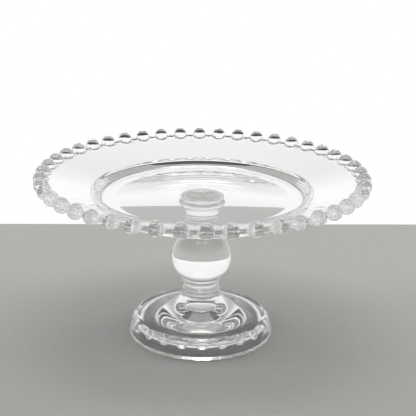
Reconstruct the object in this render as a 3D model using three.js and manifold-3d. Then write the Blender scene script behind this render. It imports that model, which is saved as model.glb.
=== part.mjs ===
// Footed cake stand of clear pressed glass, in millimetres, +Z up.
// The origin is the centre of the foot's base, on the surface that the stand rests on.
// From the top, the pieces are a plate with a beaded rim, a clear bond, a solid ball stem,
// a second bond, and a hollow bell foot. Bonded faces meet exactly.

import * as THREE from 'three';
import { mergeVertices } from 'three/addons/utils/BufferGeometryUtils.js';
import Module from 'manifold-3d';

const wasm = await Module();
wasm.setup();

// Plate
const FLOOR_R = 89.5; // flat floor that the cake stands on
const FLOOR_T = 5.5;
const WELL_WALL_W = 8.5; // curved wall from the floor up to the lip
const WELL_DEPTH = 6.8;
const RIM_W = 40.3; // sloping rim, from the lip out to the beads
const RIM_RISE = 10.7;
const RIM_DISH = 0.15; // share of the rise that comes late, which dishes the rim a little
const WEB_W = 5; // web past the rim, seen between the beads
const WEB_T = 5;
const UNDER_OUT = 9.5; // the flat underside runs this far past the floor, to the back of the wall
const UNDER_DRAFT = 1.5; // how far the wall's back leans out on its way up to the rim
const ARCH_IN = 10.5; // the underside's arch starts this far inside the floor's edge
const ARCH_H = 2.7; // how high the arch would stand over the seat at the centre
const BOSS_OUT = 0.4; // the boss that the stem is bonded to is this much wider than its seat
const BOSS_DRAFT = 0.8;

// Beads, pressed as one with the rim
const BEAD_R = 6.9;
const BEAD_HALF_H = 6.8;
const BEAD_PITCH = 19.7;
const BEAD_SINK = 0.95; // how far a bead reaches in over the rim
const BEAD_LIFT = 0.3; // bead centre above the rim's upper face at its edge

// Stem
const BALL_R = 27.5;
const BALL_HALF_H = 26;
const LOWER_NECK_H = 4.1; // waist between the seat and the ring under the ball
const WAIST_IN = 0.8;
const UPPER_NECK_R = 14.6;
const UPPER_RING_COUNT = 2; // rings on the neck over the ball
const NECK_RING_H = 3.8;
const NECK_RING_OUT = 0.9;
const FLARE_H = 23.8; // cup that widens from the neck to the plate
const FLARE_R = 21.3;
const FLARE_SEAT_IN = 3.1; // the cup's mouth closes in by this much, to its seat
const FLARE_EDGE_H = 3.5; // from the widest part of the cup up to its seat
const FLARE_MOUTH_ROUND = 1;
const FLARE_LOW_PULL = 13; // height over which the cup stays close to the neck
const FLARE_HIGH_PULL = 1.2; // height over which it stays close to its widest

// Bonds
const BOND_T = 0.4;
const BOND_INSET = 0.3; // the bond stops short of the seat's edge

// Foot
const FOOT_H = 44.2;
const BASE_R = 66.9;
const BASE_LIP_H = 3;
const BASE_LIP_OUT = 0.9; // the lip stands out past the band
const SHOULDER_H = 18;
const BAND_W = 9; // lobed band, from the shoulder out to the base lip
const COLLAR_R = 17.3;
const COLLAR_SEAT_IN = 1.3;
const COLLAR_GROOVE = 0.9;
const COLLAR_RING_COUNT = 2;
const COLLAR_RING_H = 3.4;
const BELL_CURVE = 2.2; // power of the bell's flare: higher is steeper at the collar
const LOBE_PITCH = 19.1;
const LOBE_DEPTH = 1;

// Hollow under the foot
const CROWN_T = 26.2; // glass from the hollow's flat top up to the stem's seat
const HOLLOW_TOP_R = 11;
const HOLLOW_TOP_ROUND = 3; // how far inside its edge the hollow's flat top starts to round
const HOLLOW_TOP_FALL = 1.4; // how far the top has fallen at its edge
const HOLLOW_STEP_R = 20; // where the hollow's sloping side meets its ceiling
const CEILING_T = 9; // glass between the ceiling and the shoulder
const CEILING_IN = 7; // the flat ceiling stops this far inside the shoulder
const HOLLOW_WALL_LEAN = 2.8; // how far the hollow's wall leans in on its way up
const BASE_RING_W = 6.6; // flat ring that the stand rests on

// Edges, and how finely the curves are cut
const EDGE_CHAMFER = 0.6;
const LATHE_SIDES_PER_LOBE = 2;
const LATHE_SIDES_PER_BEAD = 2;
const STEM_SIDES = 40;
const BEAD_SIDES = 8;
const BEAD_BANDS = 6;
const BALL_BANDS = 14;
const LONG_STEPS = 6;
const CURVE_STEPS = 4;
const ROUND_STEPS = 3;
const SAME_PLACE = 1e-3;

// Sizes that follow
const underR = FLOOR_R + UNDER_OUT;
const archR = FLOOR_R - ARCH_IN;
const lipR = FLOOR_R + WELL_WALL_W;
const rimR = lipR + RIM_W;
const webR = rimR + WEB_W;
const beadRingR = rimR + BEAD_R - BEAD_SINK;
const beadCount = 2 * Math.round((Math.PI * beadRingR) / BEAD_PITCH);
const lobeCount = 2 * Math.round((Math.PI * BASE_R) / LOBE_PITCH);
const lowerSeatR = COLLAR_R - COLLAR_SEAT_IN;
const lowerNeckR = lowerSeatR + EDGE_CHAMFER;
const upperSeatR = FLARE_R - FLARE_SEAT_IN;
const bandR = BASE_R - BASE_LIP_OUT;
const shoulderR = bandR - BAND_W;
const collarFootZ = FOOT_H - COLLAR_RING_COUNT * COLLAR_RING_H;

const stemZ = FOOT_H + BOND_T;
const ballFootZ = LOWER_NECK_H + NECK_RING_H;
const ballZ = ballFootZ + BALL_HALF_H * Math.sqrt(1 - (lowerNeckR / BALL_R) ** 2);
const ballTopZ = ballZ + BALL_HALF_H * Math.sqrt(1 - (UPPER_NECK_R / BALL_R) ** 2);
const flareZ = ballTopZ + UPPER_RING_COUNT * NECK_RING_H;
const stemH = flareZ + FLARE_H;
const plateBondZ = stemZ + stemH;
const plateZ = plateBondZ + BOND_T;

function point(r, z) {
  return new THREE.Vector2(r, z);
}

function repeat(count, make) {
  return Array.from({ length: count }, (_, i) => make(i));
}

function steps(from, to, count) {
  return repeat(count + 1, (i) => from + ((to - from) * i) / count);
}

function bend(start, control, end, count) {
  return new THREE.QuadraticBezierCurve(start, control, end).getPoints(count);
}

// Joins stretches of an outline and drops each point that repeats the one before it.
function outline(...stretches) {
  return stretches.flat().filter((p, i, all) => i === 0 || p.distanceTo(all[i - 1]) > 1e-6);
}

// A closed body with merged vertices and no other attributes.
function body(geometry) {
  geometry.deleteAttribute('normal');
  geometry.deleteAttribute('uv');
  return mergeVertices(geometry, 1e-4);
}

// Turns an outline of radius and height, given anticlockwise, about +Z.
function turned(points, sides) {
  const lathe = new THREE.LatheGeometry(points, sides);
  lathe.rotateX(Math.PI / 2);
  return body(lathe);
}

function toSolid(geometry) {
  const triVerts = Uint32Array.from(geometry.index.array);
  const vertProperties = Float32Array.from(geometry.attributes.position.array);
  return new wasm.Manifold(new wasm.Mesh({ numProp: 3, vertProperties, triVerts }));
}

function toGeometry(solid) {
  const mesh = solid.getMesh();
  const geometry = new THREE.BufferGeometry();
  geometry.setAttribute('position', new THREE.BufferAttribute(mesh.vertProperties, 3));
  geometry.setIndex(new THREE.BufferAttribute(mesh.triVerts, 1));
  return geometry;
}

// Height of the plate's upper face over its floor: flat, then an S-shaped wall, then the rim.
function plateTop(r) {
  const wall = THREE.MathUtils.smoothstep(r, FLOOR_R, lipR);
  const out = Math.max(0, r - lipR) / RIM_W;
  return WELL_DEPTH * wall + RIM_RISE * out * (1 - RIM_DISH + RIM_DISH * out);
}

function plateThickness(r) {
  const out = THREE.MathUtils.clamp((r - FLOOR_R) / (webR - FLOOR_R), 0, 1);
  return THREE.MathUtils.lerp(FLOOR_T, WEB_T, out);
}

// Height of the plate's underside past the wall's back: the upper face less the glass.
function rimUnder(r) {
  return FLOOR_T + plateTop(r) - plateThickness(r);
}

// Heights here are over the seat on the plate's underside.
function plateOutline() {
  const wall = steps(FLOOR_R, lipR, LONG_STEPS);
  const rim = [...steps(lipR, rimR, CURVE_STEPS), webR];
  const upper = [0, ...wall, ...rim].map((r) => point(r, FLOOR_T + plateTop(r)));
  const bossR = upperSeatR + BOSS_OUT;
  const arch = steps(bossR + BOSS_DRAFT, archR, LONG_STEPS)
    .map((r) => point(r, ARCH_H * (1 - (r / archR) ** 2)));
  const wallTopR = underR + UNDER_DRAFT;
  const under = [wallTopR, ...rim.filter((r) => r > wallTopR)].map((r) => point(r, rimUnder(r)));
  return outline([point(0, 0), point(bossR, 0)], arch, [point(underR, 0)], under, upper.reverse());
}

function bead(index) {
  const turn = Math.PI / 2 + (index * 2 * Math.PI) / beadCount;
  const ball = new THREE.SphereGeometry(1, BEAD_SIDES, BEAD_BANDS);
  ball.rotateX(Math.PI / 2);
  ball.scale(BEAD_R, BEAD_R, BEAD_HALF_H);
  ball.translate(beadRingR, 0, FLOOR_T + plateTop(rimR) + BEAD_LIFT);
  ball.rotateZ(turn);
  return body(ball);
}

function plate() {
  const dish = toSolid(turned(plateOutline(), LATHE_SIDES_PER_BEAD * beadCount));
  const beads = repeat(beadCount, (i) => toSolid(bead(i)));
  return toGeometry(beads.reduce((solid, ball) => solid.add(ball), dish));
}

function bond(seatR) {
  const r = seatR - BOND_INSET;
  return turned([point(0, 0), point(r, 0), point(r, BOND_T), point(0, BOND_T)], STEM_SIDES);
}

// Part of the ball's outline, between two radii on its lower and its upper half.
function ballArc() {
  const low = -Math.acos(lowerNeckR / BALL_R);
  const high = Math.acos(UPPER_NECK_R / BALL_R);
  return new THREE.EllipseCurve(0, ballZ, BALL_R, BALL_HALF_H, low, high).getPoints(BALL_BANDS);
}

function neckRing(r, z) {
  const middle = point(r + 2 * NECK_RING_OUT, z + NECK_RING_H / 2);
  return bend(point(r, z), middle, point(r, z + NECK_RING_H), CURVE_STEPS);
}

function stemOutline() {
  const waist = bend(
    point(lowerNeckR, EDGE_CHAMFER),
    point(lowerNeckR - 2 * WAIST_IN, (EDGE_CHAMFER + LOWER_NECK_H) / 2),
    point(lowerNeckR, LOWER_NECK_H),
    CURVE_STEPS,
  );
  const lowerRing = neckRing(lowerNeckR, LOWER_NECK_H);
  const upperRings = repeat(UPPER_RING_COUNT,
    (i) => neckRing(UPPER_NECK_R, ballTopZ + i * NECK_RING_H)).flat();
  const edgeZ = stemH - FLARE_EDGE_H;
  const cup = new THREE.CubicBezierCurve(
    point(UPPER_NECK_R, flareZ),
    point(UPPER_NECK_R, flareZ + FLARE_LOW_PULL),
    point(FLARE_R, edgeZ - FLARE_HIGH_PULL),
    point(FLARE_R, edgeZ),
  ).getPoints(LONG_STEPS);
  const mouth = bend(
    point(FLARE_R, edgeZ),
    point(FLARE_R, stemH - FLARE_MOUTH_ROUND),
    point(upperSeatR, stemH),
    ROUND_STEPS,
  );
  return outline(
    [point(0, 0), point(lowerSeatR, 0)],
    waist,
    lowerRing,
    ballArc(),
    upperRings,
    cup,
    mouth,
    [point(0, stemH)],
  );
}

function stem() {
  return turned(stemOutline(), STEM_SIDES);
}

// Height of the bell's outer face at a radius between the collar and the shoulder.
function bellHeight(r) {
  const inward = (shoulderR - r) / (shoulderR - COLLAR_R);
  return SHOULDER_H + (collarFootZ - SHOULDER_H) * inward ** BELL_CURVE;
}

// One ring of the collar, counted from the bell up. The top one ends at the stem's seat.
function collarRing(index) {
  const z = collarFootZ + index * COLLAR_RING_H;
  const grooveR = COLLAR_R - COLLAR_GROOVE;
  const topR = index === COLLAR_RING_COUNT - 1 ? lowerSeatR : grooveR;
  const out = point(COLLAR_R + COLLAR_GROOVE, z + COLLAR_RING_H / 2);
  return bend(point(grooveR, z), out, point(topR, z + COLLAR_RING_H), CURVE_STEPS);
}

// The hollow's outline from the axis to the base: flat top, sloping side, ceiling and wall.
function hollowOutline() {
  const topZ = FOOT_H - CROWN_T;
  const sideZ = topZ - HOLLOW_TOP_FALL;
  const ceilingZ = SHOULDER_H - CEILING_T;
  const rimInR = BASE_R - BASE_RING_W;
  return [
    point(0, topZ),
    ...bend(
      point(HOLLOW_TOP_R - HOLLOW_TOP_ROUND, topZ),
      point(HOLLOW_TOP_R, topZ),
      point(HOLLOW_TOP_R, sideZ),
      ROUND_STEPS,
    ),
    ...bend(
      point(HOLLOW_TOP_R, sideZ),
      point((HOLLOW_TOP_R + HOLLOW_STEP_R) / 2, ceilingZ),
      point(HOLLOW_STEP_R, ceilingZ),
      CURVE_STEPS,
    ),
    ...bend(
      point(shoulderR - CEILING_IN, ceilingZ),
      point(rimInR - HOLLOW_WALL_LEAN, ceilingZ),
      point(rimInR, 0),
      CURVE_STEPS,
    ),
  ];
}

function footOutline() {
  const lip = [
    point(BASE_R - EDGE_CHAMFER, 0),
    point(BASE_R, EDGE_CHAMFER),
    point(BASE_R, BASE_LIP_H - EDGE_CHAMFER),
    point(bandR, BASE_LIP_H),
  ];
  const band = new THREE.EllipseCurve(
    shoulderR, BASE_LIP_H, bandR - shoulderR, SHOULDER_H - BASE_LIP_H, 0, Math.PI / 2,
  ).getPoints(LONG_STEPS);
  const bell = steps(shoulderR, COLLAR_R, LONG_STEPS).map((r) => point(r, bellHeight(r)));
  const rings = repeat(COLLAR_RING_COUNT, collarRing).flat();
  return outline(hollowOutline(), lip, band, bell, rings, [point(0, FOOT_H)]);
}

// Draws the band's outer face in at the creases between lobes. The press is deepest half way up,
// and a lobe's crown faces -Y.
function pressLobes(geometry) {
  const position = geometry.attributes.position;
  for (let i = 0; i < position.count; i += 1) {
    const [x, y, z] = [position.getX(i), position.getY(i), position.getZ(i)];
    const r = Math.hypot(x, y);
    const onBand = r > shoulderR + SAME_PLACE && z > BASE_LIP_H + SAME_PLACE;
    const up = (z - BASE_LIP_H) / (SHOULDER_H - BASE_LIP_H);
    const crown = Math.abs(Math.cos((lobeCount * Math.atan2(x, -y)) / 2));
    const pressed = onBand ? LOBE_DEPTH * (1 - crown) * Math.sin(Math.PI * up) : 0;
    position.setXY(i, (x * (r - pressed)) / (r || 1), (y * (r - pressed)) / (r || 1));
  }
  return geometry;
}

function foot() {
  return pressLobes(turned(footOutline(), LATHE_SIDES_PER_LOBE * lobeCount));
}

function clearMaterial(color, roughness) {
  return new THREE.MeshStandardMaterial({
    color,
    roughness,
    metalness: 0,
    transparent: true,
    opacity: 0.35,
  });
}

function piece(name, geometry, z, material) {
  geometry.computeVertexNormals();
  const mesh = new THREE.Mesh(geometry, material);
  mesh.name = name;
  mesh.position.z = z;
  return mesh;
}

const cakeStand = new THREE.Group();
cakeStand.add(piece('foot', foot(), 0, clearMaterial('#e6ebe9', 0.05)));
cakeStand.add(piece('foot_bond', bond(lowerSeatR), FOOT_H, clearMaterial('#eef1ee', 0.2)));
cakeStand.add(piece('ball_stem', stem(), stemZ, clearMaterial('#e8edec', 0.03)));
cakeStand.add(piece('plate_bond', bond(upperSeatR), plateBondZ, clearMaterial('#eef1ee', 0.2)));
cakeStand.add(piece('plate', plate(), plateZ, clearMaterial('#e9eeec', 0.04)));

export default cakeStand;
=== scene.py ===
"""Looks of a footed cake stand in clear pressed glass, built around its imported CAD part."""

import math

import bpy
import numpy as np
from mathutils import Matrix, Vector


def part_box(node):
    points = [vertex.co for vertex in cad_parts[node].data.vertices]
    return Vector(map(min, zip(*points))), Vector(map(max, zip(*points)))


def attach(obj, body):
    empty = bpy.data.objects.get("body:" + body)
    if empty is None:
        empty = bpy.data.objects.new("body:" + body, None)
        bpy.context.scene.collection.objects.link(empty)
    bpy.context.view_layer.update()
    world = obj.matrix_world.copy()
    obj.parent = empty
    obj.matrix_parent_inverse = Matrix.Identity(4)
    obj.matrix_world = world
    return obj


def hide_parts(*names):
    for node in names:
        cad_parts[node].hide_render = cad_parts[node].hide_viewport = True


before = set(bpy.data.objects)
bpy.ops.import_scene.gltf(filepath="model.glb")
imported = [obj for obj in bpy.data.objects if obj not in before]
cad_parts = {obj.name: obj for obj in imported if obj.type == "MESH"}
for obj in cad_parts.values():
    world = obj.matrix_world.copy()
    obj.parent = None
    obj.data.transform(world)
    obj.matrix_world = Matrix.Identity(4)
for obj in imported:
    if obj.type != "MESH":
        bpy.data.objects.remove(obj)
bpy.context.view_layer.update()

MM = 0.001

# Plate, in millimetres over the seat on its underside
FLOOR_R = 89.5
FLOOR_T = 5.5
WELL_WALL_W = 8.5
WELL_DEPTH = 6.8
RIM_W = 40.3
RIM_RISE = 10.7
RIM_DISH = 0.15
LIP_ROUND = 1.4  # how gently the well's wall turns into the rim
WEB_W = 5.0
WEB_T = 5.0
UNDER_R = 99.0  # flat underside, out to the back of the well's wall
UNDER_DRAFT = 1.5  # how far the wall's back leans out on its way up to the rim
UNDER_BLEND = 6.0  # over this much of the rim the underside eases into the web and the beads
BOSS_R = 18.6  # boss on the underside that the stem is bonded to
BOSS_DRAFT = 0.8
BOSS_ROUND = 0.5
ARCH_R = 79.0  # from the boss out to here the underside arches up
ARCH_H = 2.7
ARCH_ROUND = 0.35
WALL_ROUND = 0.9
LIP_R = FLOOR_R + WELL_WALL_W
RIM_R = LIP_R + RIM_W
WEB_R = RIM_R + WEB_W
FLOOR_ROWS = (84.0, 60.0, 30.0, 12.0, 0.0)  # radii of the rows across the flat floor
ROW_CROWDING = 1.15  # over 1 the rim's rows lie closer together near the beads

# Beads
BEAD_COUNT = 46
BEAD_R = 6.9
BEAD_A = 6.78  # half a bead's width, a hair inside the CAD bead
BEAD_SINK = 0.95  # how far a bead reaches in over the rim's edge
BEAD_RING_R = RIM_R + BEAD_R - BEAD_SINK
BEAD_LIFT = 0.3
BEAD_FILLET = 0.7  # soft join of the bead with the web beside it

# Stem, over its lower seat
BALL_R = 27.4
BALL_HALF_H = 26.0
LOWER_NECK_R = 16.6
LOWER_NECK_H = 4.1
UPPER_NECK_R = 14.6
NECK_RING_H = 3.8
NECK_RING_OUT = 0.9
WAIST_IN = 0.8
WAIST_EDGE_H = 0.6  # straight edge between the seat and the waist
FLARE_R = 21.3
FLARE_EDGE_H = 3.5
FLARE_MOUTH_ROUND = 1.0
FLARE_LOW_PULL = 13.0
FLARE_HIGH_PULL = 1.2
LOWER_SEAT_R = 16.0
UPPER_SEAT_R = 18.2

# Foot, over the surface that it stands on
FOOT_H = 44.2
BASE_R = 66.85
BASE_LIP_H = 3.0
BASE_LIP_ROUND = 0.8
BAND_R = 66.0
SHOULDER_R = 57.0
SHOULDER_H = 18.0
COLLAR_R = 17.3
COLLAR_GROOVE = 0.9
COLLAR_RING_H = 3.4
COLLAR_FOOT_Z = FOOT_H - 2 * COLLAR_RING_H
BELL_CURVE = 2.2
HOLLOW_TOP = 18.0
HOLLOW_TOP_R = 11.0
HOLLOW_TOP_ROUND = 3.0
HOLLOW_TOP_FALL = 1.4
HOLLOW_STEP_R = 20.0
CEILING_Z = 9.0
CEILING_R = 50.0
HOLLOW_WALL_LEAN = 2.8
HOLLOW_RIM_R = 60.3
PETAL_COUNT = 22
PETAL_RAISE = 0.7
PETAL_TOP_Z = 16.8  # a petal's edge between petals
PETAL_DROP = 6.4  # how much lower the edge hangs at a petal's middle
PETAL_EDGE_H = 1.1
PETAL_SPREAD = 0.9
SHOULDER_BLEND = 1.0
PRESS_START_Z = 3.0  # the band is pressed in from here up
PRESS_FULL_Z = 8.0
PRESS_FADE_Z = 16.2
PRESS_END_Z = 17.8
NOTCH_COUNT = 48
NOTCH_DEPTH = 0.35
NOTCH_REACH = 0.5
SIDES_PER_PETAL = 30

SEAT_OVERLAP = 0.008  # bonded glass faces pass each other by this much, so no film of air shows
BOND_INSET = 0.3
BOND_EDGE_PULL = 0.25  # pulls the edge of a bond inwards

FLAT_END = 1.0  # rows this far from a corner keep the shading of a flat face flat
WALL_GUARD = 4.0  # the same for the faces on both sides of the back of the wall

# Glass
GLASS_IOR = 1.52
MARK_SIZE = 9.0  # handling marks, in millimetres
MARK_HAZE = 0.03
SKIN_START = 0.8  # the lumpy skin of the beads starts this far inside the rim's edge
SKIN_FADE = 3.0

FLOOR_GAP = 0.0002  # metres between the stage floor and the foot


def linear(hex_colour):
    """The sRGB hex colour as linear red, green, blue and an alpha of 1."""
    channels = [int(hex_colour[i:i + 2], 16) / 255 for i in (1, 3, 5)]
    return [c / 12.92 if c <= 0.04045 else ((c + 0.055) / 1.055) ** 2.4 for c in channels] + [1.0]


def add(tree, kind, inputs=None, **settings):
    """Adds one node. An input given as a socket is linked, and any other value is set on the socket."""
    node = tree.nodes.new(kind)
    for name, value in settings.items():
        setattr(node, name, value)
    for name, value in (inputs or {}).items():
        if isinstance(value, bpy.types.NodeSocket):
            tree.links.new(value, node.inputs[name])
        else:
            node.inputs[name].default_value = value
    return node


# Outlines: arrays of (radius, height) in millimetres, anticlockwise, from axis to axis.

def ramp(x, low, high):
    """0 below low, 1 above high, and an S-shaped rise between them."""
    t = np.clip((x - low) / (high - low), 0, 1)
    return t * t * (3 - 2 * t)


def line(a, b, count):
    return np.linspace(a, b, count)


def bend(start, control, end, count):
    """Quadratic curve: start (1-t)^2 + control 2t(1-t) + end t^2."""
    t = np.linspace(0, 1, count)[:, None]
    start, control, end = (np.array(p, float) for p in (start, control, end))
    return start * (1 - t) ** 2 + control * 2 * t * (1 - t) + end * t ** 2


def ellipse_arc(centre, half_w, half_h, start, end, count):
    """Points at centre + (half_w cos t, half_h sin t) as t runs from start to end."""
    t = np.linspace(start, end, count)
    return np.stack([centre[0] + half_w * np.cos(t), centre[1] + half_h * np.sin(t)], -1)


def joined(*stretches):
    """Puts stretches end to end and drops a point that repeats the one before it."""
    points = np.concatenate([np.atleast_2d(s) for s in stretches])
    step = np.linalg.norm(np.diff(points, axis=0), axis=1)
    return points[np.concatenate([[True], step > 1e-4])]


def eased(points, corner_r):
    """Rounds a polyline's corners: each inner corner becomes a curve that starts and ends corner_r
    away from it, or a third of the way along a shorter side. A point just before and just after each
    curve keeps the shading of the flat sides flat."""
    before, here, after = points[:-2], points[1:-1], points[2:]
    back = before - here
    on = after - here
    back_len = np.linalg.norm(back, axis=1, keepdims=True)
    on_len = np.linalg.norm(on, axis=1, keepdims=True)
    start = here + back / back_len * np.minimum(corner_r, back_len / 3)
    end = here + on / on_len * np.minimum(corner_r, on_len / 3)
    t = np.linspace(0, 1, 4)[None, :, None]
    curve = start[:, None] * (1 - t) ** 2 + here[:, None] * 2 * t * (1 - t) + end[:, None] * t ** 2
    guard_in = (start + (start - here) * 0.3)[:, None]
    guard_out = (end + (end - here) * 0.3)[:, None]
    curve = np.concatenate([guard_in, curve, guard_out], axis=1)
    return np.concatenate([points[:1], curve.reshape(-1, 2), points[-1:]])


def glass_body(name, radius, height, angle, material):
    """A closed body on the +Z axis. radius and height, in millimetres, are grids with a row for each
    point of the outline, from axis to axis, and a column for each angle. Each inner row becomes a ring
    of vertices at (radius cos angle, radius sin angle, height), and the first and last rows one vertex."""
    rows, columns = radius.shape
    ring = np.stack([radius * np.cos(angle), radius * np.sin(angle), height], -1)[1:-1]
    poles = np.array([[0, 0, height[0, 0]], [0, 0, height[-1, 0]]])
    places = np.concatenate([ring.reshape(-1, 3), poles]) * MM
    index = np.arange((rows - 2) * columns).reshape(rows - 2, columns)
    turned = np.roll(index, -1, axis=1)
    quads = np.stack([index[:-1], turned[:-1], turned[1:], index[1:]], -1).reshape(-1, 4)
    low = np.full(columns, index.size)
    low_fan = np.stack([low, turned[0], index[0]], -1)
    high_fan = np.stack([low + 1, index[-1], turned[-1]], -1)
    corners = np.concatenate([quads.ravel(), low_fan.ravel(), high_fan.ravel()])
    sizes = np.concatenate([np.full(len(quads), 4), np.full(2 * columns, 3)])
    mesh = bpy.data.meshes.new(name)
    mesh.vertices.add(len(places))
    mesh.vertices.foreach_set("co", places.ravel())
    mesh.loops.add(len(corners))
    mesh.loops.foreach_set("vertex_index", corners)
    mesh.polygons.add(len(sizes))
    mesh.polygons.foreach_set("loop_start", np.concatenate([[0], np.cumsum(sizes)[:-1]]))
    mesh.polygons.foreach_set("use_smooth", np.ones(len(sizes), bool))
    mesh.update(calc_edges=True)
    mesh.validate()
    mesh.materials.append(material)
    piece = bpy.data.objects.new(name, mesh)
    bpy.context.scene.collection.objects.link(piece)
    return piece


def turned_body(name, profile, base_z, sides, material):
    """A body of revolution: every column is the same outline, lifted to base_z."""
    angle = np.arange(sides) * 2 * math.pi / sides
    radius = np.repeat(profile[:, :1], sides, axis=1)
    height = np.repeat(profile[:, 1:] + base_z, sides, axis=1)
    return glass_body(name, radius, height, angle[None, :], material)


# Plate

def plate_top(r):
    """Height of the plate's upper face: the floor, an S-shaped wall, then a rim whose slope starts
    softly past the lip."""
    past = np.where(r > LIP_R - 4 * LIP_ROUND, LIP_ROUND * np.logaddexp(0, (r - LIP_R) / LIP_ROUND), 0)
    out = past / RIM_W
    rise = RIM_RISE * out * (1 - RIM_DISH + RIM_DISH * out)
    return FLOOR_T + WELL_DEPTH * ramp(r, FLOOR_R, LIP_R) + rise


def plate_thickness(r):
    return FLOOR_T + (WEB_T - FLOOR_T) * np.clip((r - FLOOR_R) / (WEB_R - FLOOR_R), 0, 1)


def bead_angles():
    """Angles of the plate's columns and how far along the bead ring each lies from its nearest bead.
    Columns crowd towards a bead's edge as a sphere's meridians do."""
    pitch = 2 * math.pi / BEAD_COUNT
    half = math.asin(BEAD_A / BEAD_RING_R)
    over = half * np.sin(np.linspace(-math.pi / 2, math.pi / 2, 17))
    between = np.linspace(half, pitch - half, 6)[1:-1]
    one = np.concatenate([over, between])
    angle = (one[None, :] + pitch * np.arange(BEAD_COUNT)[:, None]).ravel() + math.pi / 2
    nearest = np.where(one > pitch / 2, one - pitch, one)
    return angle, np.tile(np.abs(BEAD_RING_R * np.sin(nearest)), BEAD_COUNT)


def plate_body(name, base_z, material):
    """Every column is a section through the plate. Out to the rim the columns are alike. There each
    ends in a circle: its radius is a bead's section sqrt(a^2 - s^2) at s from the bead's centre,
    and half the web's thickness between beads. The circle's centre moves in as it shrinks."""
    angle, s = bead_angles()
    slope = math.atan(RIM_RISE * (1 + RIM_DISH) / RIM_W)
    web_half = WEB_T * math.cos(slope) / 2
    section = np.sqrt(np.clip(BEAD_A ** 2 - s ** 2, 0, None))
    cap_r = (section ** 4 + web_half ** 4) ** 0.25
    near = 1 - ramp(s, BEAD_A - BEAD_FILLET, BEAD_A + BEAD_FILLET)
    reach = WEB_R + (BEAD_RING_R - WEB_R) * near + section
    cap_x = reach - cap_r
    middle = float(plate_top(np.array(RIM_R))) + BEAD_LIFT
    web_z = plate_top(cap_x) - web_half / math.cos(slope)
    bead_share = (cap_r - web_half) / (BEAD_A - web_half)
    cap_z = web_z + (middle - web_z) * np.clip(bead_share, 0, 1)

    over = (plate_top(cap_x) - cap_z) * math.cos(slope)
    under = (cap_z - plate_top(cap_x) + plate_thickness(cap_x)) * math.cos(slope)
    first = math.pi + slope - np.arcsin(np.clip(over / cap_r, -1, 1))
    last = -math.pi + slope + np.arcsin(np.clip(under / cap_r, -1, 1))
    turn = np.linspace(0, 1, 22)[:, None]
    sweep = last[None, :] + (first - last)[None, :] * turn
    circle_r = cap_x + cap_r * np.cos(sweep)
    circle_z = cap_z + cap_r * np.sin(sweep)

    upper_r = np.concatenate([
        circle_r[-1:] + (LIP_R - circle_r[-1:]) * np.linspace(0, 1, 13)[1:, None] ** ROW_CROWDING,
        np.repeat(np.linspace(LIP_R, FLOOR_R - FLAT_END, 15)[1:, None], len(s), axis=1),
        np.repeat(np.array(FLOOR_ROWS)[:, None], len(s), axis=1),
    ])
    upper_z = plate_top(upper_r)

    wall_r = UNDER_R + UNDER_DRAFT
    wall_top = float(plate_top(np.array(wall_r)) - plate_thickness(np.array(wall_r)))
    arch_r = np.linspace(BOSS_R + BOSS_DRAFT, ARCH_R, 16)
    arch = np.stack([arch_r, ARCH_H * (1 - (arch_r / ARCH_R) ** 2)], -1)
    past_wall = wall_r + WALL_GUARD
    base = joined(
        eased(np.array([[0, 0], [BOSS_R, 0], arch[0], arch[1]]), BOSS_ROUND)[:-1],
        arch[1:-2],
        eased(np.array([arch[-2], [ARCH_R, 0], [UNDER_R - WALL_GUARD, 0]]), ARCH_ROUND)[:-1],
        eased(np.array([
            [UNDER_R - WALL_GUARD, 0], [UNDER_R, 0], [wall_r, wall_top],
            [past_wall, float(plate_top(np.array(past_wall)) - plate_thickness(np.array(past_wall)))],
        ]), WALL_ROUND)[:-1],
    )
    base_r = np.repeat(base[:, :1], len(s), axis=1)
    base_h = np.repeat(base[:, 1:], len(s), axis=1)
    base_end_r = base[-1, 0]
    under_t = np.linspace(0, 1, 14)[:, None]
    under_r = base_end_r + (circle_r[:1] - base_end_r) * under_t
    under_z = plate_top(under_r) - plate_thickness(under_r)
    under_z += (circle_z[:1] - under_z[-1:]) * ramp(under_r, RIM_R - UNDER_BLEND, RIM_R)
    radius = np.concatenate([base_r, under_r[1:-1], circle_r, upper_r])
    height = np.concatenate([base_h, under_z[1:-1], circle_z, upper_z]) + base_z
    return glass_body(name, radius, height, angle[None, :], material)


# Stem

def neck_ring(r, z):
    return bend([r, z], [r + 2 * NECK_RING_OUT, z + NECK_RING_H / 2], [r, z + NECK_RING_H], 9)


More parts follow.
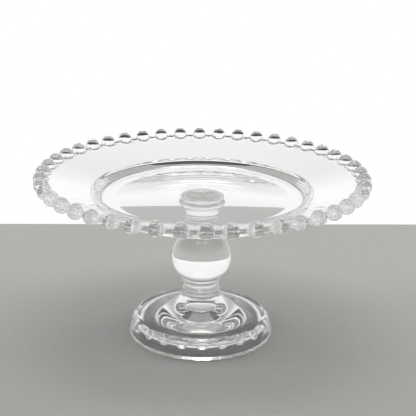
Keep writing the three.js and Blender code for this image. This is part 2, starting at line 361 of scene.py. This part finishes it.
def stem_outline(height):
    """Waist, ring, ball, two rings and a cup, as a radius for each height."""
    low = math.acos(LOWER_NECK_R / BALL_R)
    high = math.acos(UPPER_NECK_R / BALL_R)
    ball_z = LOWER_NECK_H + NECK_RING_H + BALL_HALF_H * math.sin(low)
    ball_top = ball_z + BALL_HALF_H * math.sin(high)
    flare_z = ball_top + 2 * NECK_RING_H
    edge_z = height - FLARE_EDGE_H
    t = np.linspace(0, 1, 22)[:, None]
    cup_ends = np.array([
        [UPPER_NECK_R, flare_z], [UPPER_NECK_R, flare_z + FLARE_LOW_PULL],
        [FLARE_R, edge_z - FLARE_HIGH_PULL], [FLARE_R, edge_z],
    ])
    cup = (cup_ends[0] * (1 - t) ** 3 + cup_ends[1] * 3 * t * (1 - t) ** 2
           + cup_ends[2] * 3 * t * t * (1 - t) + cup_ends[3] * t ** 3)
    waist_middle = [LOWER_NECK_R - 2 * WAIST_IN, (LOWER_NECK_H + WAIST_EDGE_H) / 2]
    waist = bend([LOWER_NECK_R, WAIST_EDGE_H], waist_middle, [LOWER_NECK_R, LOWER_NECK_H], 11)
    return joined(
        line([0, 0], [LOWER_SEAT_R, 0], 5),
        waist,
        neck_ring(LOWER_NECK_R, LOWER_NECK_H),
        ellipse_arc((0, ball_z), BALL_R, BALL_HALF_H, -low, high, 60),
        neck_ring(UPPER_NECK_R, ball_top),
        neck_ring(UPPER_NECK_R, ball_top + NECK_RING_H),
        cup,
        bend([FLARE_R, edge_z], [FLARE_R, height - FLARE_MOUTH_ROUND], [UPPER_SEAT_R, height], 10),
        line([UPPER_SEAT_R, height], [0, height], 5),
    )


# Foot

def bell_height(r):
    """Height of the bell's outer face: the shoulder's height plus a power of the distance inwards."""
    inward = np.clip((SHOULDER_R - r) / (SHOULDER_R - COLLAR_R), 0, 1)
    return SHOULDER_H + (COLLAR_FOOT_Z - SHOULDER_H) * inward ** BELL_CURVE


def collar_ring(index):
    z = COLLAR_FOOT_Z + index * COLLAR_RING_H
    groove_r = COLLAR_R - COLLAR_GROOVE
    top_r = LOWER_SEAT_R if index else groove_r
    out = [COLLAR_R + COLLAR_GROOVE, z + COLLAR_RING_H / 2]
    return bend([groove_r, z], out, [top_r, z + COLLAR_RING_H], 9)


def foot_outline():
    top_in = HOLLOW_TOP_R - HOLLOW_TOP_ROUND
    side_z = HOLLOW_TOP - HOLLOW_TOP_FALL
    top = joined(
        line([0, HOLLOW_TOP], [top_in, HOLLOW_TOP], 4),
        bend([top_in, HOLLOW_TOP], [HOLLOW_TOP_R, HOLLOW_TOP], [HOLLOW_TOP_R, side_z], 8),
    )
    side = bend([HOLLOW_TOP_R, side_z], [(HOLLOW_TOP_R + HOLLOW_STEP_R) / 2, CEILING_Z],
                [HOLLOW_STEP_R, CEILING_Z], 12)
    ceiling = line([HOLLOW_STEP_R, CEILING_Z], [CEILING_R, CEILING_Z], 6)
    wall = bend([CEILING_R, CEILING_Z], [HOLLOW_RIM_R - HOLLOW_WALL_LEAN, CEILING_Z], [HOLLOW_RIM_R, 0], 14)
    lip = np.array([[HOLLOW_RIM_R + FLAT_END, 0], [BASE_R - FLAT_END, 0]])
    lip_edge = ellipse_arc((BASE_R - BASE_LIP_ROUND, BASE_LIP_H / 2), BASE_LIP_ROUND, BASE_LIP_H / 2,
                           -math.pi / 2, math.pi / 2, 9)
    band = ellipse_arc((SHOULDER_R, BASE_LIP_H), BAND_R - SHOULDER_R, SHOULDER_H - BASE_LIP_H,
                       0, math.pi / 2, 30)
    bell_r = np.linspace(SHOULDER_R, COLLAR_R, 26)
    bell = np.stack([bell_r, bell_height(bell_r)], -1)
    return joined(top, side, ceiling, wall, lip, lip_edge, band, bell, collar_ring(0), collar_ring(1),
                  line([LOWER_SEAT_R, FOOT_H], [0, FOOT_H], 4))


def foot_body(name, material):
    """The foot's outline turned about +Z, with its band pressed in around a row of U-shaped petals that
    hang from the shoulder: a petal's edge is lowest at its middle and rises to the shoulder between
    petals. Small notches cut the base lip."""
    profile = foot_outline()
    sides = PETAL_COUNT * SIDES_PER_PETAL
    angle = (np.arange(sides) * 2 * math.pi / sides)[None, :]
    r = np.repeat(profile[:, :1], sides, axis=1)
    z = np.repeat(profile[:, 1:], sides, axis=1)
    swag = ramp(np.cos(PETAL_COUNT * (angle + math.pi / 2)), -PETAL_SPREAD, PETAL_SPREAD)
    edge_z = PETAL_TOP_Z - PETAL_DROP * swag
    outside = ramp(r, SHOULDER_R - SHOULDER_BLEND, SHOULDER_R + SHOULDER_BLEND) * (z > BASE_LIP_H)
    petal = ramp(z, edge_z - PETAL_EDGE_H, edge_z + PETAL_EDGE_H) * swag
    in_band = ramp(z, PRESS_START_Z, PRESS_FULL_Z) * (1 - ramp(z, PRESS_FADE_Z, PRESS_END_Z))
    pressed = outside * PETAL_RAISE * (1 - petal) * in_band
    on_lip = ((r > BAND_R - NOTCH_REACH) & (z < BASE_LIP_H)).astype(float)
    notch = on_lip * NOTCH_DEPTH * np.clip(np.cos(NOTCH_COUNT * angle), 0, 1) ** 6
    return glass_body(name, r - pressed - notch, z, angle, material)


# Materials

def glass(name, tint, wave_mm, wave_height_mm, roughness, absorb_hex, absorb_per_m, rim_skin=None):
    """Soda-lime glass. Waves of chilled glass bend the light softly, and fine handling marks break
    the gloss in places. rim_skin is (radius, lump size, lump height) in millimetres: past the radius
    the skin is a little lumpy, as small pressed beads come out of a mould."""
    material = bpy.data.materials.new(name)
    material.use_nodes = True
    tree = material.node_tree
    tree.nodes.clear()
    place = add(tree, "ShaderNodeTexCoord").outputs["Object"]
    waves = add(tree, "ShaderNodeTexNoise", {
        "Vector": place, "Scale": 1 / (wave_mm * MM), "Detail": 0.0, "Roughness": 0.4})
    swell = add(tree, "ShaderNodeBump", {
        "Strength": 1.0, "Distance": wave_height_mm * MM, "Height": waves.outputs["Fac"]})
    marks = add(tree, "ShaderNodeTexNoise", {
        "Vector": place, "Scale": 1 / (MARK_SIZE * MM), "Detail": 4.0, "Roughness": 0.65})
    gloss = add(tree, "ShaderNodeMapRange", {
        "Value": marks.outputs["Fac"], "From Min": 0.55, "From Max": 0.8,
        "To Min": roughness, "To Max": roughness + MARK_HAZE})
    normal = swell.outputs["Normal"]
    if rim_skin:
        from_r, lump_mm, lump_height_mm = rim_skin
        flat = add(tree, "ShaderNodeVectorMath", {0: place, 1: (1.0, 1.0, 0.0)}, operation="MULTIPLY")
        r = add(tree, "ShaderNodeVectorMath", {0: flat.outputs["Vector"]}, operation="LENGTH")
        on_rim = add(tree, "ShaderNodeMapRange", {
            "Value": r.outputs["Value"], "From Min": from_r * MM, "From Max": (from_r + SKIN_FADE) * MM})
        lumps = add(tree, "ShaderNodeTexNoise", {
            "Vector": place, "Scale": 1 / (lump_mm * MM), "Detail": 1.0, "Roughness": 0.5})
        lift = add(tree, "ShaderNodeMath", {
            0: lumps.outputs["Fac"], 1: on_rim.outputs["Result"]}, operation="MULTIPLY")
        lumpy = add(tree, "ShaderNodeBump", {
            "Strength": 1.0, "Distance": lump_height_mm * MM, "Height": lift.outputs["Value"],
            "Normal": normal})
        normal = lumpy.outputs["Normal"]
    shader = add(tree, "ShaderNodeBsdfPrincipled", {
        "Base Color": linear(tint), "Transmission Weight": 1.0, "IOR": GLASS_IOR,
        "Roughness": gloss.outputs["Result"], "Normal": normal})
    depth = add(tree, "ShaderNodeVolumeAbsorption", {
        "Color": linear(absorb_hex), "Density": absorb_per_m})
    add(tree, "ShaderNodeOutputMaterial", {
        "Surface": shader.outputs["BSDF"], "Volume": depth.outputs["Volume"]})
    return material


def paper(name, colour):
    """A seamless paper sweep: matt, with a faint fibre mottle."""
    material = bpy.data.materials.new(name)
    material.use_nodes = True
    tree = material.node_tree
    tree.nodes.clear()
    place = add(tree, "ShaderNodeTexCoord").outputs["Object"]
    fibre = add(tree, "ShaderNodeTexNoise", {"Vector": place, "Scale": 1 / (4 * MM), "Detail": 3.0})
    tone = add(tree, "ShaderNodeMapRange", {
        "Value": fibre.outputs["Fac"], "From Min": 0.3, "From Max": 0.7,
        "To Min": 0.97, "To Max": 1.03})
    mixed = add(tree, "ShaderNodeVectorMath", {
        0: linear(colour)[:3], "Scale": tone.outputs["Result"]}, operation="SCALE")
    shader = add(tree, "ShaderNodeBsdfPrincipled", {
        "Base Color": mixed.outputs["Vector"], "Roughness": 0.85, "Specular IOR Level": 0.2})
    add(tree, "ShaderNodeOutputMaterial", {"Surface": shader.outputs["BSDF"]})
    return material


# Pressed soda-lime glass, fire polished: clear, with long soft waves from the mould.
plate_glass = glass("pressed_glass_plate", "#FDFDFD", 30, 0.001, 0.0, "#E7E9E7", 3.0,
                    rim_skin=(RIM_R - SKIN_START, 4.0, 0.5))
stem_glass = glass("pressed_glass_stem", "#FDFDFD", 30, 0.001, 0.0, "#E7E9E7", 1.0)
foot_glass = glass("pressed_glass_foot", "#FDFDFD", 24, 0.005, 0.0, "#E7E9E7", 1.0)
# Clear cured adhesive: a thin even film that shows only as a faint darker disc.
bond_film = glass("clear_adhesive", "#F6F9F6", 8, 0.004, 0.01, "#CDD5D0", 15.0)

# Pieces

seat_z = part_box("plate")[0].z / MM
stem_low, stem_high = (corner.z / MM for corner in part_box("ball_stem"))
upper_bond = [corner.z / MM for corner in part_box("plate_bond")]
lower_bond = [corner.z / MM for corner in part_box("foot_bond")]

plate = plate_body("beaded_plate", seat_z, plate_glass)
stem = turned_body("ball_stem_glass", stem_outline(stem_high - stem_low), stem_low, 144, stem_glass)
foot = foot_body("bell_foot", foot_glass)


def bond_disc(name, ends, seat_r, material):
    """A thin disc with a hollowed edge, which passes into the glass on both sides by the overlap."""
    low, high = ends[0] - SEAT_OVERLAP, ends[1] + SEAT_OVERLAP
    r = seat_r - BOND_INSET
    edge = bend([r, low], [r - BOND_EDGE_PULL, (low + high) / 2], [r, high], 7)
    outline = joined(line([0, low], [r, low], 4), edge, line([r, high], [0, high], 4))
    return turned_body(name, outline, 0, 96, material)


plate_bond = bond_disc("plate_bond_film", upper_bond, UPPER_SEAT_R, bond_film)
foot_bond = bond_disc("foot_bond_film", lower_bond, LOWER_SEAT_R, bond_film)

for piece, node, slot in (
    (plate, "plate", "clear_glass"),
    (plate_bond, "plate_bond", "clear_adhesive"),
    (stem, "ball_stem", "clear_glass"),
    (foot_bond, "foot_bond", "clear_adhesive"),
    (foot, "foot", "clear_glass"),
):
    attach(piece, "root")
    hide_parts(node)

# Stage: a pale floor that ends behind the stand, soft lights and a bright surround

YAW = math.radians(-1.42)
ROLL = math.radians(0.7)


def stage_floor(back, front, half_w, skew, material):
    """A flat sheet just under the foot. Its back edge is turned by skew."""
    turn = Matrix.Rotation(YAW + skew, 3, "Z")
    corners = [turn @ Vector((x, y, 0)) for x, y in (
        (-half_w, front), (half_w, front), (half_w, back), (-half_w, back))]
    mesh = bpy.data.meshes.new("floor")
    mesh.from_pydata([(c.x, c.y, -FLOOR_GAP) for c in corners], [], [(0, 1, 2, 3)])
    mesh.materials.append(material)
    sheet = bpy.data.objects.new("floor", mesh)
    bpy.context.scene.collection.objects.link(sheet)


stage_floor(0.2916, -0.32, 0.34, math.radians(1.8), paper("pale_floor_paper", "#959492"))


def surround():
    """White to the camera. For the glass: white round the horizon, dimmer above, dark below the floor."""
    world = bpy.data.worlds.new("studio")
    world.use_nodes = True
    tree = world.node_tree
    tree.nodes.clear()
    way = add(tree, "ShaderNodeTexCoord").outputs["Generated"]
    parts = add(tree, "ShaderNodeSeparateXYZ", {"Vector": way})
    height = add(tree, "ShaderNodeMapRange", {
        "Value": parts.outputs["Z"], "From Min": -1.0, "From Max": 1.0})
    shades = add(tree, "ShaderNodeValToRGB", {"Fac": height.outputs["Result"]})
    stops = shades.color_ramp.elements
    stops[0].position, stops[0].color = 0.0, (0.05, 0.048, 0.046, 1)
    stops[1].position, stops[1].color = 1.0, (0.95, 0.95, 0.95, 1)
    for place, level in ((0.285, 0.05), (0.305, 1.0), (0.64, 1.0), (0.74, 0.35), (0.9, 0.3)):
        stops.new(place).color = (level, level, level * 0.995, 1)
    light_path = add(tree, "ShaderNodeLightPath")
    to_glass = add(tree, "ShaderNodeBackground", {"Color": shades.outputs["Color"], "Strength": 1.0})
    to_camera = add(tree, "ShaderNodeBackground", {"Color": (1, 1, 1, 1), "Strength": 1.0})
    both = add(tree, "ShaderNodeMixShader", {
        0: light_path.outputs["Is Camera Ray"],
        1: to_glass.outputs["Background"], 2: to_camera.outputs["Background"]})
    add(tree, "ShaderNodeOutputWorld", {"Surface": both.outputs["Shader"]})
    bpy.context.scene.world = world


surround()


def softbox(name, place, target, size, power, through_glass):
    """A soft rectangular lamp that faces the target. No face mirrors it, and it shows through glass
    only if through_glass is true."""
    lamp = bpy.data.lights.new(name, "AREA")
    lamp.shape = "RECTANGLE"
    lamp.size, lamp.size_y = size
    lamp.energy = power
    lamp_object = bpy.data.objects.new(name, lamp)
    aim = Vector(target) - Vector(place)
    lamp_object.matrix_world = Matrix.Translation(place) @ aim.to_track_quat("-Z", "Y").to_matrix().to_4x4()
    lamp_object.visible_camera = False
    lamp_object.visible_glossy = False
    lamp_object.visible_transmission = through_glass
    bpy.context.scene.collection.objects.link(lamp_object)


softbox("left_softbox", (-1.3, 0.5, 1.0), (0, 0, 0.05), (0.7, 1.0), 14, False)
softbox("right_softbox", (1.3, 0.4, 1.0), (0, 0, 0.05), (0.7, 1.0), 14, False)
softbox("top_softbox", (0, 0.1, 1.8), (0, 0, 0), (1.2, 0.8), 14, True)

lens = bpy.data.cameras.new("camera")
lens.lens = 95.35
lens.sensor_width = 36
lens.shift_x = 0.0143
camera = bpy.data.objects.new("camera", lens)
camera.matrix_world = (
    Matrix.Rotation(YAW, 4, "Z")
    @ Matrix.Translation((0, -0.9446, 0.4437))
    @ Matrix.Rotation(math.radians(71.09), 4, "X")
    @ Matrix.Rotation(ROLL, 4, "Z")
)
bpy.context.scene.collection.objects.link(camera)
bpy.context.scene.camera = camera

scene = bpy.context.scene
scene.view_settings.view_transform = "Standard"
scene.cycles.max_bounces = 96
scene.cycles.transmission_bounces = 96
scene.cycles.glossy_bounces = 64
scene.cycles.caustics_reflective = False
scene.cycles.sample_clamp_indirect = 6.0
